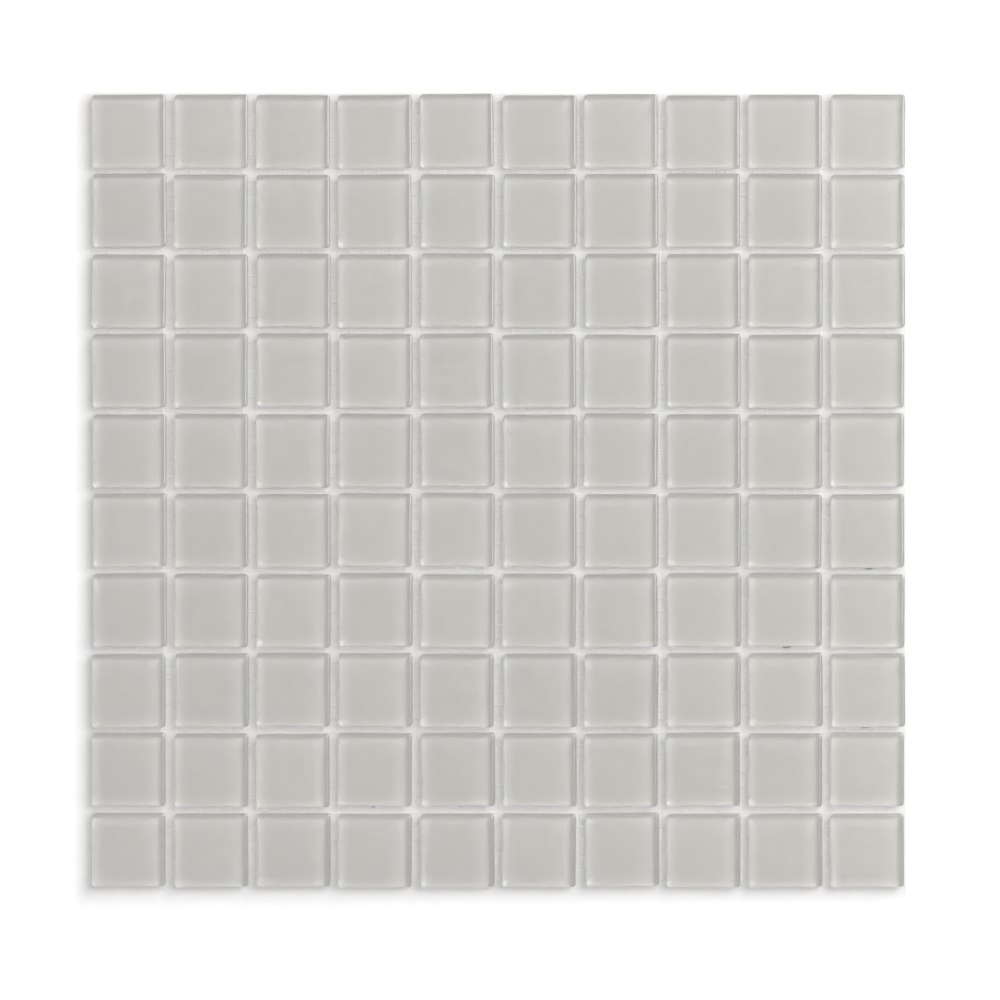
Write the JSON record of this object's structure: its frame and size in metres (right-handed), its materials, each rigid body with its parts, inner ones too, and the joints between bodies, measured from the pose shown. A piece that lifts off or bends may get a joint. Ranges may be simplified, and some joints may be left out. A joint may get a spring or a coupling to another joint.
{
  "type": "mosaic tile sheet",
  "caption": "Flat square sheet of small square glass tiles with rounded edges, laid in even rows with open joints on a thin fibre net that is bonded across their backs.",
  "frame": {"origin": "middle of the sheet, in the plane of the net's underside, on which the sheet rests or is glued", "axes": "+Z out of the tiles' face, +X along the rows, +Y from row to row"},
  "size_m": [0.3027, 0.2954, 0.005],
  "materials": {
    "tile_glass": "gloss",
    "net_fibre": "matte"
  },
  "bodies": {
    "root": {"tile_row_01": "tile_glass", "tile_row_02": "tile_glass", "tile_row_03": "tile_glass", "tile_row_04": "tile_glass", "tile_row_05": "tile_glass", "tile_row_06": "tile_glass", "tile_row_07": "tile_glass", "tile_row_08": "tile_glass", "tile_row_09": "tile_glass", "tile_row_10": "tile_glass", "net_long_strands": "net_fibre", "net_cross_strands": "net_fibre"}
  },
  "joints": []
}
